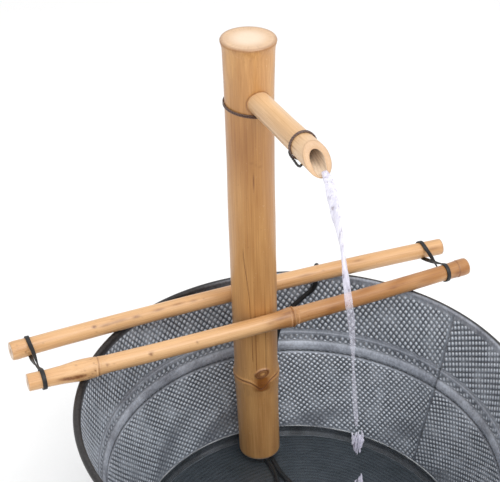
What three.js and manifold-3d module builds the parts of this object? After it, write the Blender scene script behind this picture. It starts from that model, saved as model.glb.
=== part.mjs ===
// Tabletop water fountain: a hollow bamboo post with a bamboo spout, gripped by two bamboo canes that
// rest on the rim of a galvanised tub. A small submersible pump sits inside the foot of the post.
// Millimetres, +Z up. The origin is on the table, under the middle of the object; the spout points to -Y
// and the canes run along X.
import * as THREE from 'three';
import { mergeVertices } from 'three/addons/utils/BufferGeometryUtils.js';
import Module from 'manifold-3d';

const wasm = await Module();
wasm.setup();

// ---------- driving dimensions ----------
const GAP = 0.3; // space left between pieces that touch

const TUB_X = -5.9; // tub axis
const TUB_Y = 0;
const TUB_SEGMENTS = 48;
const SHEET = 1.4; // tub wall thickness
const FLOOR_TOP = 8; // height of the tub's floor
const FLOOR_RADIUS = 153.1;
const RIM_RADIUS = 200.6; // centre of the rolled rim
const RIM_HEIGHT = 184.7;
const RIM_TUBE = 3.2;
const RIM_SHEET = 0.9;

const POST_FOOT = new THREE.Vector3(8.65, 132.7, 15); // centre of the post's lower end
const POST_LENGTH = 457;
const POST_LEAN_X = THREE.MathUtils.degToRad(-0.15); // turn about X
const POST_LEAN_Y = THREE.MathUtils.degToRad(-1.44); // turn about Y
const POST_BORE = 16.5;
const POST_BORE_TOP = 438; // the culm is solid above this height
const POST_TIE_HEIGHT = 396;
const POST_SEGMENTS = 32;

const SPOUT_HEIGHT = 406.3; // up the post
const SPOUT_ROOT_RADIUS = 10.2;
const SPOUT_TIP_RADIUS = 11.2;
const SPOUT_BORE = 6;
const SPOUT_ROOT = -9.5; // where the spout starts inside the post
const SPOUT_LIP = -144.5; // end of the lower lip
const SPOUT_CUT_TOP = -122; // where the slanted cut meets the top of the spout
const SPOUT_TIE_AT = -107;

const POLE_HEIGHT = 196.5;
const POLE_BOW = 7.1; // how far the poles come together at 240 mm from the post
const POLES = [
  { name: 'rear_pole', side: 1, offset: 31.1, radius: 8.2, left: -240.8, right: 217.7, turn: 0.0036 },
  { name: 'front_pole', side: -1, offset: 30.2, radius: 8.2, left: -237.6, right: 220.8, turn: 0.0255 },
];
const BAND_WIDTH = 5;
const BAND_THICKNESS = 1.2;
const BANDS = [
  { name: 'left_band', at: -223.7 },
  { name: 'right_band', at: 194.6 },
];

const HOSE_RADIUS = 4.75;
const HOSE_BORE = 3.2;

const PUMP_RADIUS = 14.6;
const PUMP_SEGMENTS = 24;
const ROTOR_X = -2.8; // rotor axis in the pump
const ROTOR_Y = -2.8;
const CORD_X = 8.9; // where the lead leaves the pump
const CORD_Y = 8.9;
const LEAD_GROOVE = 4.2;
const DIAL_Z = 8.5;
const GRILLE_Z = 10.6;
const COVER_Z = 12.9;
const HOUSING_Z = 15.2;
const HOUSING_TOP = 52;
const CAP_TOP = 56;
const SPIGOT_TOP = 70;

const CORD_RADIUS = 2.5;
const COIL_CENTRE = [40, 215];
const COIL_RADIUS = 27; // middle of the turns
const COIL_LAYERS = 2;
const COIL_ROWS = 3;
const PLUG_SIZE = { length: 30, width: 24, height: 15 };
const BLADE_SIZE = { length: 17, width: 1.5, height: 6.3, apart: 12.7 };

// ---------- colours ----------
const BAMBOO = { color: 0xc8a06e, roughness: 0.5, metalness: 0 };
const PALE_BAMBOO = { color: 0xdcbc8e, roughness: 0.5, metalness: 0 };
const ZINC = { color: 0x8b9299, roughness: 0.4, metalness: 0.9 };
const RUBBER = { color: 0x151515, roughness: 0.8, metalness: 0 };
const LEATHER = { color: 0x3a251d, roughness: 0.7, metalness: 0 };
const VINYL = { color: 0xd8e0e2, roughness: 0.2, metalness: 0 };
const PLASTIC = { color: 0x1c1d20, roughness: 0.45, metalness: 0 };
const EPOXY = { color: 0x2a2320, roughness: 0.3, metalness: 0 };
const COPPER = { color: 0xa8552a, roughness: 0.35, metalness: 1 };
const MAGNET = { color: 0x3c3d40, roughness: 0.5, metalness: 0.6 };
const CERAMIC = { color: 0xe8e4da, roughness: 0.25, metalness: 0 };
const BRASS = { color: 0xb99a4c, roughness: 0.3, metalness: 1 };

// ---------- shape helpers ----------
// Turns every face outwards.
function facedOut(geometry) {
  const p = geometry.getAttribute('position');
  const index = geometry.getIndex().array;
  const a = new THREE.Vector3();
  const b = new THREE.Vector3();
  const c = new THREE.Vector3();
  let volume = 0;
  for (let i = 0; i < index.length; i += 3) {
    a.fromBufferAttribute(p, index[i]);
    b.fromBufferAttribute(p, index[i + 1]);
    c.fromBufferAttribute(p, index[i + 2]);
    volume += a.dot(b.cross(c));
  }
  if (volume < 0) {
    for (let i = 0; i < index.length; i += 3) {
      [index[i + 1], index[i + 2]] = [index[i + 2], index[i + 1]];
    }
  }
  return geometry;
}

// A closed geometry with shared corners, faces out.
function closed(geometry) {
  geometry.deleteAttribute('normal');
  geometry.deleteAttribute('uv');
  return facedOut(mergeVertices(geometry, 1e-4));
}

function toSolid(geometry) {
  const g = closed(geometry);
  return new wasm.Manifold(new wasm.Mesh({
    numProp: 3,
    vertProperties: new Float32Array(g.getAttribute('position').array),
    triVerts: new Uint32Array(g.getIndex().array),
  }));
}

function toGeometry(solid) {
  const mesh = solid.getMesh();
  const g = new THREE.BufferGeometry();
  g.setAttribute('position', new THREE.BufferAttribute(new Float32Array(mesh.vertProperties), 3));
  g.setIndex(new THREE.BufferAttribute(new Uint32Array(mesh.triVerts), 1));
  return g;
}

function cut(geometry, ...tools) {
  return toGeometry(tools.reduce((solid, tool) => solid.subtract(toSolid(tool)), toSolid(geometry)));
}

function join(geometry, ...others) {
  return toGeometry(others.reduce((solid, other) => solid.add(toSolid(other)), toSolid(geometry)));
}

// A profile of [radius, height] pairs turned about Z.
function turned(profile, segments = PUMP_SEGMENTS) {
  const points = profile.map(([r, z]) => new THREE.Vector2(r, z));
  return new THREE.LatheGeometry(points, segments).rotateX(Math.PI / 2);
}

// A ring or a disc with a hole: inner and outer radius, lower and upper height.
function ring(inner, outer, low, high, segments = PUMP_SEGMENTS) {
  return turned([[inner, low], [outer, low], [outer, high], [inner, high], [inner, low]], segments);
}

function disc(radius, low, high, segments = PUMP_SEGMENTS) {
  return turned([[0, low], [radius, low], [radius, high], [0, high]], segments);
}

function block(width, depth, low, high) {
  return new THREE.BoxGeometry(width, depth, high - low).translate(0, 0, (low + high) / 2);
}

function circle(radius, sides) {
  const points = [];
  for (let i = 0; i < sides; i += 1) {
    const a = (i / sides) * 2 * Math.PI;
    points.push(new THREE.Vector2(radius * Math.cos(a), radius * Math.sin(a)));
  }
  return points;
}

// A round tube or rod along a curve.
function along(curve, radius, sides, steps, bore = 0) {
  const shape = new THREE.Shape(circle(radius, sides));
  if (bore > 0) shape.holes.push(new THREE.Path(circle(bore, sides).reverse()));
  return new THREE.ExtrudeGeometry(shape, { steps, bevelEnabled: false, extrudePath: curve });
}

function smooth(points) {
  const corners = points.map(([x, y, z]) => new THREE.Vector3(x, y, z));
  return new THREE.CatmullRomCurve3(corners, false, 'centripetal');
}

function node(name, geometry, look, parent) {
  const mesh = new THREE.Mesh(closed(geometry), new THREE.MeshStandardMaterial(look));
  mesh.geometry.computeVertexNormals();
  mesh.name = name;
  parent.add(mesh);
  return mesh;
}

// ---------- tub ----------
// Inner radius of the wall at the heights where its slope or a bead changes it.
const WALL_INSIDE = [
  [153.4, 6.5], [153.4, 8.3], [157.2, 9.6], [158.3, 17], [179.6, 99],
  [181.7, 103], [181.9, 107], [182.6, 111], [184.6, 114], [185.6, 119], [186, 123], [197.2, 181],
];

function tubWall() {
  const arc = (radius, from, to, steps) => {
    const points = [];
    for (let i = 0; i <= steps; i += 1) {
      const a = THREE.MathUtils.degToRad(from + ((to - from) * i) / steps);
      points.push([RIM_RADIUS + radius * Math.cos(a), RIM_HEIGHT + radius * Math.sin(a)]);
    }
    return points;
  };
  const roll = arc(RIM_TUBE, 180, -100, 7).concat(arc(RIM_TUBE - RIM_SHEET, -100, 150, 6));
  const outside = WALL_INSIDE.slice(3).map(([r, z]) => [r + SHEET, z]).reverse();
  const foot = [[157.2, 6], [156.6, 0], [153.4, 0], [153.4, 4.2], [150, 4.8], [150, 6.5], [153.4, 6.5]];
  return turned([...WALL_INSIDE, ...roll, ...outside, ...foot], TUB_SEGMENTS);
}

function addTub(parent) {
  const tub = new THREE.Group();
  tub.position.set(TUB_X, TUB_Y, 0);
  parent.add(tub);
  node('tub_wall', tubWall(), ZINC, tub);
  node('tub_floor', disc(FLOOR_RADIUS, FLOOR_TOP - 1.2, FLOOR_TOP, TUB_SEGMENTS), ZINC, tub);
  const wire = new THREE.TorusGeometry(RIM_RADIUS, RIM_TUBE - RIM_SHEET - 0.4, 6, TUB_SEGMENTS);
  node('rim_wire', wire.translate(0, 0, RIM_HEIGHT), ZINC, tub);
}

// ---------- poles and bands ----------
function poleY(pole, x) {
  return pole.side * (pole.offset - POLE_BOW * (x / 240) ** 2) + pole.turn * x;
}

function poleCurve(pole) {
  const points = [];
  for (let i = 0; i <= 8; i += 1) {
    const x = pole.left + ((pole.right - pole.left) * i) / 8;
    points.push([POST_FOOT.x + x, POST_FOOT.y + poleY(pole, x), POLE_HEIGHT]);
  }
  return smooth(points);
}

// A band crossed between the poles like a figure 8: a hoop round each pole and two crossing strands.
function bandGeometry(at) {
  const [rear, front] = POLES;
  const inner = rear.radius + GAP;
  const middle = inner + BAND_THICKNESS / 2;
  const rearY = poleY(rear, at);
  const frontY = poleY(front, at);
  const span = rearY - frontY;
  const slope = Math.asin((2 * middle) / span);
  const strand = Math.sqrt(span * span - 4 * middle * middle);
  const hoop = (y) => ring(inner, inner + BAND_THICKNESS, -BAND_WIDTH / 2, BAND_WIDTH / 2, 20)
    .rotateY(Math.PI / 2).translate(0, y, 0);
  const cross = (sign) => new THREE.BoxGeometry(BAND_WIDTH, strand + 1, BAND_THICKNESS)
    .rotateX(sign * slope).translate(0, (rearY + frontY) / 2, 0);
  const clear = (y) => new THREE.CylinderGeometry(inner, inner, 4 * BAND_WIDTH, 20)
    .rotateZ(Math.PI / 2).translate(0, y, 0);
  const band = join(hoop(rearY), hoop(frontY), cross(1), cross(-1));
  return cut(band, clear(rearY), clear(frontY))
    .translate(POST_FOOT.x + at, POST_FOOT.y, POLE_HEIGHT);
}

function addCradle(parent) {
  for (const pole of POLES) node(pole.name, along(poleCurve(pole), pole.radius, 14, 14), BAMBOO, parent);
  for (const band of BANDS) node(band.name, bandGeometry(band.at), RUBBER, parent);
}

// ---------- post, spout and ties: Z is the post's own axis ----------
const POST_OUTSIDE = [
  [20.4, 0], [21, 1], [21.4, 62], [21.7, 86], [23.1, 95], [23.2, 99], [21.9, 107], [21.9, 200],
  [21.8, 345], [22, 418], [22.8, 445], [24.6, 455.5], [24.3, POST_LENGTH],
];

function postGeometry() {
  const body = turned([...POST_OUTSIDE, [0, POST_LENGTH], [0, POST_BORE_TOP],
    [POST_BORE, POST_BORE_TOP], [POST_BORE, 0],
    [20.4, 0]], POST_SEGMENTS);
  const hole = new THREE.CylinderGeometry(SPOUT_ROOT_RADIUS + GAP, SPOUT_ROOT_RADIUS + GAP, 40, 24)
    .translate(0, -20, 0).translate(0, 0, SPOUT_HEIGHT);
  return cut(body, hole);
}

function spoutGeometry() {
  const end = SPOUT_LIP - 4;
  const body = turned([[SPOUT_BORE, -SPOUT_ROOT], [SPOUT_ROOT_RADIUS, -SPOUT_ROOT], [10.3, 60],
    [SPOUT_TIP_RADIUS - 0.4, 105], [SPOUT_TIP_RADIUS, -end], [SPOUT_BORE, -end],
    [SPOUT_BORE, -SPOUT_ROOT]]);
  body.rotateX(Math.PI / 2); // the turning axis now runs to -Y
  const slope = Math.atan2(2 * SPOUT_TIP_RADIUS, SPOUT_CUT_TOP - SPOUT_LIP);
  const knife = new THREE.BoxGeometry(60, 60, 120).translate(0, -30, 0).rotateX(-(Math.PI / 2 - slope))
    .translate(0, (SPOUT_LIP + SPOUT_CUT_TOP) / 2, 0);
  return cut(body, knife).translate(0, 0, SPOUT_HEIGHT);
}

function postTie() {
  return ring(22.9, 24.5, -1.4, 1.4, POST_SEGMENTS)
    .rotateX(THREE.MathUtils.degToRad(6)).rotateY(THREE.MathUtils.degToRad(5.7))
    .translate(0, 0, POST_TIE_HEIGHT);
}

function spoutTie() {
  const hoop = ring(SPOUT_TIP_RADIUS + 0.4, SPOUT_TIP_RADIUS + 2, -1.4, 1.4, 24)
    .rotateX(THREE.MathUtils.degToRad(90 - 4)).translate(0, SPOUT_TIE_AT, 0);
  const tail = along(smooth([[-12, 0, -2.8], [-11.1, 0.4, -5.8], [-9.6, 0, -8.7], [-8.2, -1.5, -11.3],
    [-7.2, -3.8, -13.5], [-6.5, -6.2, -14.2], [-6, -8.3, -13.2], [-5.8, -9.6, -11.1]]), 1, 6, 12)
    .translate(0, SPOUT_TIE_AT, 0);
  return join(hoop, tail).translate(0, 0, SPOUT_HEIGHT);
}

function hoseGeometry() {
  const bend = 14;
  const back = 7;
  const points = [[0, 0, CAP_TOP + 1], [0, 0, 110], [0, 1, 170], [0, 4, 260], [0, back, 350],
    [0, back, SPOUT_HEIGHT - bend]];
  for (const degrees of [22.5, 45, 67.5, 90]) {
    const a = THREE.MathUtils.degToRad(degrees);
    points.push([0, back - bend * (1 - Math.cos(a)), SPOUT_HEIGHT - bend * (1 - Math.sin(a))]);
  }
  points.push([0, -22, SPOUT_HEIGHT], [0, -45, SPOUT_HEIGHT], [0, -70, SPOUT_HEIGHT]);
  return along(smooth(points), HOSE_RADIUS, 8, 32, HOSE_BORE);
}

// ---------- pump ----------
function onRotor(geometry) {
  return geometry.translate(ROTOR_X, ROTOR_Y, 0);
}

function leadGroove(low, high) {
  return disc(LEAD_GROOVE, low, high, 16).translate(CORD_X, CORD_Y, 0);
}

const leadSlot = (low, high) => block(14, 14, low, high).translate(CORD_X + 7, CORD_Y + 7, 0);

function housingGeometry() {
  const boss = 44; // the lead's gland hangs below this height
  return cut(
    disc(PUMP_RADIUS, HOUSING_Z, HOUSING_TOP),
    onRotor(disc(9.5, HOUSING_Z - 1, 21, 20)), // impeller chamber
    onRotor(disc(5.3, 20, 41, 16)), // rotor well
    onRotor(disc(1.4, 40, 44, 10)), // upper end of the shaft
    onRotor(ring(6.6, 9.4, 25, HOUSING_TOP + 1, 20)), // stator pocket
    disc(2.2, 17, HOUSING_TOP + 1, 12).translate(10.5, -4.5, 0), // riser
    block(7, 3.6, 16, 20.5).translate(7.5, -4.5, 0), // chamber to riser
    leadGroove(HOUSING_Z - 1, boss),
    leadSlot(HOUSING_Z - 1, boss),
  );
}

function outletCap() {
  const body = join(disc(PUMP_RADIUS, HOUSING_TOP + GAP, CAP_TOP), disc(2.9, CAP_TOP - 1, SPIGOT_TOP, 16));
  return cut(body, disc(1.9, HOUSING_TOP, SPIGOT_TOP + 1, 12),
    block(12, 4, HOUSING_TOP, HOUSING_TOP + 2).rotateZ(-0.4).translate(5.6, -2.4, 0));
}

function impellerGeometry() {
  const hub = disc(3, 16.2, 23.2, 16);
  const plate = disc(8.4, 19.4, 20.6, 20);
  const blades = [0, 1, 2, 3, 4].map((i) => block(5.6, 1, 16.4, 19.6).translate(5.2, 0, 0)
    .rotateZ((i * 2 * Math.PI) / 5));
  return onRotor(cut(join(hub, plate, ...blades), disc(1.3, 15, 25, 10)));
}

function coverGeometry() {
  const inlets = [0, 1, 2, 3].map((i) => disc(1.9, COVER_Z - 1, HOUSING_Z, 10).translate(4.2, 0, 0)
    .rotateZ((i * Math.PI) / 2 + Math.PI / 4));
  const holes = [...inlets, disc(2.3, COVER_Z - 1, HOUSING_Z, 12)].map(onRotor);
  return cut(disc(PUMP_RADIUS, COVER_Z, HOUSING_Z - GAP), ...holes,
    leadGroove(COVER_Z - 1, HOUSING_Z), leadSlot(COVER_Z - 1, HOUSING_Z));
}

function grilleGeometry() {
  const slots = [-9, -6, -3, 0, 3, 6, 9].map((y) => block(Math.abs(y) > 8 ? 8 : 12, 1.4, GRILLE_Z - 1, COVER_Z)
    .translate(-2.5, y - 2, 0));
  return cut(disc(PUMP_RADIUS, GRILLE_Z, COVER_Z - GAP), ...slots,
    leadGroove(GRILLE_Z - 1, COVER_Z), leadSlot(GRILLE_Z - 1, COVER_Z));
}

function dialGeometry() {
  const slots = [-4.5, -1.5, 1.5, 4.5].map((y) => block(8, 1.4, DIAL_Z - 2, GRILLE_Z).translate(0, y, 0));
  const tab = block(2, 3.4, DIAL_Z - 1.2, DIAL_Z + 0.6).translate(-7.2, 0, 0);
  return onRotor(join(cut(disc(7.6, DIAL_Z, GRILLE_Z - GAP, 20), ...slots), tab));
}

function strainRelief() {
  return turned([[0, 19.9], [2.8, 19.9], [2.9, 24], [3.1, 36], [3.5, 43.7], [0, 43.7]], 12)
    .translate(CORD_X, CORD_Y, 0);
}

function addPump(post) {
  node('pump_housing', housingGeometry(), PLASTIC, post);
  node('outlet_cap', outletCap(), PLASTIC, post);
  node('stator_coil', onRotor(ring(6.9, 9.1, 25.3, 41, 20)), COPPER, post);
  node('epoxy_seal', onRotor(ring(6.9, 9.1, 41.3, HOUSING_TOP - GAP, 20)), EPOXY, post);
  node('rotor_magnet', onRotor(ring(1.3, 4.6, 23.5, 39.4, 16)), MAGNET, post);
  node('impeller', impellerGeometry(), PLASTIC, post);
  node('pump_shaft', onRotor(disc(1, COVER_Z + 0.3, 43.4, 10)), CERAMIC, post);
  node('upper_shaft_seat', onRotor(ring(1.3, 3.2, 39.7, 40.9, 12)), RUBBER, post);
  node('lower_shaft_seat', onRotor(ring(1.3, 2, COVER_Z + 0.1, 15.6, 12)), RUBBER, post);
  node('volute_cover', coverGeometry(), PLASTIC, post);
  node('intake_grille', grilleGeometry(), PLASTIC, post);
  node('flow_dial', dialGeometry(), PLASTIC, post);
  node('strain_relief', strainRelief(), RUBBER, post);
}

function addPost(parent) {
  const post = new THREE.Group();
  post.position.copy(POST_FOOT);
  post.rotation.set(POST_LEAN_X, POST_LEAN_Y, 0);
  parent.add(post);
  node('post', postGeometry(), BAMBOO, post);
  node('spout', spoutGeometry(), PALE_BAMBOO, post);
  node('post_tie', postTie(), LEATHER, post);
  node('spout_tie', spoutTie(), LEATHER, post);
  node('hose', hoseGeometry(), VINYL, post);
  addPump(post);
}

// ---------- power cord ----------
// Out of the post's foot, a slack loop on the tub's floor, back under the post, up the tub's wall
// behind the post, over the rim and down to the coil on the table.
const CORD_ROUTE = [
  [17.1, 141.7, 34.5], [17.2, 141.6, 30], [16.9, 139, 20.7], [16, 132, 13.5], [14.6, 122.4, 10.8],
  [14.8, 113, 10.8], [14.3, 102, 10.8], [14.4, 89, 10.8], [17.5, 75, 10.8], [24, 56, 10.8],
  [30, 32, 10.8], [25, 7, 10.8], [6, -9, 10.8], [-16, -2, 10.8], [-23, 21, 10.8], [-14, 45, 10.8],
  [1, 66, 10.8], [7, 84, 10.8], [8.8, 98, 10.8], [9.1, 110, 10.8], [8.7, 121, 10.8], [9.8, 131, 10.8],
  [14.2, 140.3, 10.8], [20.5, 145.6, 11], [26.6, 148, 13.6], [33, 150.6, 20.9], [35.9, 152.2, 32],
  [38, 159.4, 60], [41.2, 168.7, 97], [46, 174.2, 122], [53, 175.8, 138], [61.7, 175.1, 150.5],
  [74.1, 172.6, 162.8], [83.3, 169.3, 172.6], [85.7, 167.9, 181], [86.8, 170.2, 188.8],
  [91.2, 178.2, 192.8], [96.4, 187.1, 187.4], [98.5, 190.5, 177], [98.6, 190.8, 150], [98.6, 190.8, 90],
  [98.6, 190.8, 40], [98, 190.8, 24], [92.2, 190.6, 9.6], [79, 188.8, 3.1], [62.8, 185.6, 2.9],
];
const TAIL_ROUTE = [
  [64.3, 243, 3.4], [78, 240.8, 2.8], [92, 240.2, 4], [104, 240.2, 7.2], [112, 240.2, 7.6],
];

function addCord(parent) {
  node('power_cord', along(smooth(CORD_ROUTE), CORD_RADIUS, 8, 72), RUBBER, parent);
  node('cord_tail', along(smooth(TAIL_ROUTE), CORD_RADIUS, 8, 6), RUBBER, parent);
  const half = CORD_RADIUS * COIL_ROWS;
  const coil = ring(COIL_RADIUS - half, COIL_RADIUS + half, GAP, GAP + 2 * CORD_RADIUS * COIL_LAYERS, 32);
  node('cord_coil', coil.translate(...COIL_CENTRE, 0), RUBBER, parent);
  const plug = new THREE.Group();
  plug.position.set(112.4, 240.2, PLUG_SIZE.height / 2 + 0.2);
  parent.add(plug);
  const { length, width, height } = PLUG_SIZE;
  const body = new THREE.BoxGeometry(length, width, height).translate(length / 2, 0, 0);
  node('plug_body', body, RUBBER, plug);
  for (const [name, side] of [['plug_blade_left', 1], ['plug_blade_right', -1]]) {
    const blade = new THREE.BoxGeometry(BLADE_SIZE.length, BLADE_SIZE.width, BLADE_SIZE.height);
    blade.translate(length + BLADE_SIZE.length / 2 + GAP, (side * BLADE_SIZE.apart) / 2, 0);
    node(name, blade, BRASS, plug);
  }
}

// ---------- the whole object ----------
const group = new THREE.Group();
addTub(group);
addCradle(group);
addPost(group);
addCord(group);

export default group;
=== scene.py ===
# Looks of the tabletop water fountain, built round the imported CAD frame. Shapes are worked out in
# millimetres in the row frame (+Z up, spout towards -Y) and scaled to metres when a mesh is made.
import math

import bpy
import numpy as np
from mathutils import Matrix, Vector


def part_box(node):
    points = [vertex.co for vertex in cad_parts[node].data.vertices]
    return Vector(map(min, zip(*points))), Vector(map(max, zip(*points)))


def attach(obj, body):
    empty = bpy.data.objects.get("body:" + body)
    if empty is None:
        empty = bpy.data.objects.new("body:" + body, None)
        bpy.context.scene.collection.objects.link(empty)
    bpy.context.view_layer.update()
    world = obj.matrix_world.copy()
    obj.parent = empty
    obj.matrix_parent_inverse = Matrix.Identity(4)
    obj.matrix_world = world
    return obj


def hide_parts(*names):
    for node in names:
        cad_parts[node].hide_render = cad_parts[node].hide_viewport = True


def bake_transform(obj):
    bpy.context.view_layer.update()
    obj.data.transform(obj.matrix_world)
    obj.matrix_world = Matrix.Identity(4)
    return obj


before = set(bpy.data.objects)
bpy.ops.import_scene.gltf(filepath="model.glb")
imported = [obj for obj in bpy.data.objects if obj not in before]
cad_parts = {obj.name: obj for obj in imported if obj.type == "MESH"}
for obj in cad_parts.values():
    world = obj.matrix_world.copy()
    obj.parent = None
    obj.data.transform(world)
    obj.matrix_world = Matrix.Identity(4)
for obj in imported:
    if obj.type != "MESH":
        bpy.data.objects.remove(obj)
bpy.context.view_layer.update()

MM = 0.001

# ---------- driving dimensions, millimetres ----------
POST_FOOT = np.array([8.65, 132.7, 15.0])  # centre of the post's lower end
POST_LEAN_X = math.radians(-0.15)
POST_LEAN_Y = math.radians(-1.44)
POST_LENGTH = 457
POST_BORE = 16.5
SPOUT_HEIGHT = 406.3
SPOUT_BORE = 6
SPOUT_LIP = -144.5
SPOUT_CUT_TOP = -122
SPOUT_BACK = -9.5  # the end inside the post
MOUTH_RADIUS = 11.2
POLE_HEIGHT = 196.5
POLE_BOW = 7.1
POLE_HALF = 240  # the bow is measured this far from the middle
TUB_X = -5.9
SHEET = 1.4
RIM_RADIUS = 200.6
RIM_HEIGHT = 184.7
RIM_TUBE = 3.2
WATER_LEVEL = 17
WATER_RADIUS = 158.2
CORD_RADIUS = 2.5
COIL_CENTRE = (40, 215)
SEAM = math.radians(17.3)  # where the tub's sheet laps, about its axis


# ---------- shape helpers ----------
def lean():
    """The post's own frame as a rotation: Z runs up the post."""
    return np.array(Matrix.Rotation(POST_LEAN_X, 3, "X") @ Matrix.Rotation(POST_LEAN_Y, 3, "Y"))


def from_post(points):
    """Points of the post's own frame, measured from its foot, in the row frame."""
    return np.asarray(points, float) @ lean().T + POST_FOOT


def xyz(x, y, z):
    return np.stack(np.broadcast_arrays(x, y, z), -1)


def smooth_line(points, per_span=12):
    """A centripetal Catmull-Rom curve through the points, as dense points."""
    p = np.asarray(points, float)
    p = np.vstack([2 * p[0] - p[1], p, 2 * p[-1] - p[-2]])
    out = []
    for a, b, c, d in zip(p, p[1:], p[2:], p[3:]):
        ta, tb, tc = (np.linalg.norm(y - x) ** 0.5 for x, y in ((a, b), (b, c), (c, d)))
        m1 = ((b - a) / ta - (c - a) / (ta + tb) + (c - b) / tb) * tb
        m2 = ((c - b) / tb - (d - b) / (tb + tc) + (d - c) / tc) * tb
        u = np.linspace(0, 1, per_span, endpoint=False)[:, None]
        out.append(b + m1 * u + (3 * (c - b) - 2 * m1 - m2) * u**2 + (2 * (b - c) + m1 + m2) * u**3)
    return np.vstack(out + [p[-2:-1]])


def even(points, gap):
    """The same line with points about one gap apart."""
    length = np.r_[0, np.cumsum(np.linalg.norm(np.diff(points, axis=0), axis=1))]
    at = np.linspace(0, length[-1], max(2, round(length[-1] / gap) + 1))
    return np.stack([np.interp(at, length, points[:, k]) for k in range(3)], 1)


def frames(path):
    """Side and up at each point of a path, turning as little as possible."""
    along = np.gradient(path, axis=0)
    along /= np.linalg.norm(along, axis=1)[:, None]
    side = np.cross(along[0], (0, 0, 1) if abs(along[0][2]) < 0.9 else (1, 0, 0))
    sides = []
    for k in along:
        side = side - k * (side @ k)
        side /= np.linalg.norm(side)
        sides.append(side)
    return np.array(sides), np.cross(along, sides)


def loop_directions(path):
    """Which way a closed path runs at each point."""
    t = np.roll(path, -1, 0) - np.roll(path, 1, 0)
    return t / np.linalg.norm(t, axis=1)[:, None]


def sweep(path, side, up, x, y):
    """Rings along a path, from how far each of their points lies to its side and up."""
    return path[:, None] + x[..., None] * side[:, None] + y[..., None] * up[:, None]


def tube_rings(path, radius, sides):
    """Round rings along a path."""
    a = np.linspace(0, 2 * np.pi, sides, endpoint=False)[None]
    return sweep(path, *frames(path), radius * np.cos(a), radius * np.sin(a))


def rounded_square(count, power):
    """Points round a soft-cornered square from -1 to 1; a lower power has sharper corners."""
    points = []
    for k in range(count):
        w = 2 * math.pi * k / count
        c, s = math.cos(w), math.sin(w)
        points.append((math.copysign(abs(c) ** power, c), math.copysign(abs(s) ** power, s)))
    return points


def grid_faces(rows, columns, loop):
    """Quads between rows of points; with loop, the last row joins the first."""
    i, j = np.meshgrid(np.arange(rows if loop else rows - 1), np.arange(columns), indexing="ij")
    i, j = i.ravel(), j.ravel()
    i2, j2 = (i + 1) % rows, (j + 1) % columns
    return np.stack([i * columns + j, i * columns + j2, i2 * columns + j2, i2 * columns + j], 1)


def volume(points, faces):
    """Six times the signed volume inside the faces, which tells which way they face."""
    a, b, c = (points[[f[k] for f in faces]] for k in range(3))
    total = np.einsum("ij,ij->i", a, np.cross(b, c)).sum()
    four = [f for f in faces if len(f) == 4]
    a, b, c = (points[[f[k] for f in four]] for k in (0, 2, 3))
    return total + np.einsum("ij,ij->i", a, np.cross(b, c)).sum()


def solid(name, parts, material, body, flat=False):
    """One piece from closed grids. A part holds rings, loop if its ends join, and point values by name."""
    points, faces, values, start = [], [], {}, 0
    for part in parts:
        rings = np.asarray(part["rings"], float)
        rows, columns = rings.shape[:2]
        loop = part.get("loop", False)
        mine = grid_faces(rows, columns, loop).tolist()
        own = rings.reshape(-1, 3)
        ends = []
        if not loop:
            for row, order in ((0, 1), (rows - 1, -1)):
                centre = len(own) + len(ends)
                ends.append(rings[row].mean(0))
                ring = [row * columns + k for k in range(columns)]
                mine += [(centre, ring[(k + 1) % columns], ring[k])[::order] for k in range(columns)]
            own = np.vstack([own, ends])
        if volume(own, mine) < 0:
            mine = [f[::-1] for f in mine]
        faces += [[v + start for v in f] for f in mine]
        for key, value in part.items():
            if key in ("rings", "loop"):
                continue
            v = np.asarray(value, float).reshape(rows * columns, -1)
            if ends:
                r = v.reshape(rows, columns, -1)
                v = np.vstack([v, r[0].mean(0), r[-1].mean(0)])
            values.setdefault(key, []).append(v)
        points.append(own)
        start += len(own)
    mesh = bpy.data.meshes.new(name)
    mesh.from_pydata((np.vstack(points) * MM).tolist(), [], faces)
    for key, chunks in values.items():
        v = np.vstack(chunks)
        kind = "FLOAT_VECTOR" if v.shape[1] == 3 else "FLOAT"
        layer = mesh.attributes.new(key, kind, "POINT")
        layer.data.foreach_set("vector" if v.shape[1] == 3 else "value", v.astype(np.float32).ravel())
    mesh.polygons.foreach_set("use_smooth", [not flat] * len(faces))
    mesh.materials.append(material)
    mesh.update()
    piece = bpy.data.objects.new(name, mesh)
    bpy.context.scene.collection.objects.link(piece)
    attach(piece, body)
    return piece


def step(x, low, high):
    """0 below low, 1 above high, smooth between."""
    t = np.clip((np.asarray(x, float) - low) / (high - low), 0, 1)
    return t * t * (3 - 2 * t)


def hump(x, centre, width):
    """A bell of height 1 at centre."""
    return np.exp(-(((np.asarray(x, float) - centre) / width) ** 2))


def turned_angle(a, centre):
    """Angle from centre, in -180 to 180 degrees."""
    return (np.degrees(a) - centre + 180) % 360 - 180


def near_angle(a, centre, width):
    """A bell round an angle; centre and width are in degrees."""
    return hump(turned_angle(a, centre), 0, width)


def waves(seed, *axes):
    """A smooth random field from a few sine waves; each axis is (coordinate, wave length)."""
    draw = np.random.default_rng(seed)
    total = 0
    for _ in range(7):
        angle = draw.uniform(0, 2 * np.pi)
        for coordinate, length in axes:
            angle = angle + coordinate * (2 * np.pi / length) * draw.uniform(0.5, 1.6)
        total = total + np.sin(angle) * draw.uniform(0.5, 1)
    return total / 3.5


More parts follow.
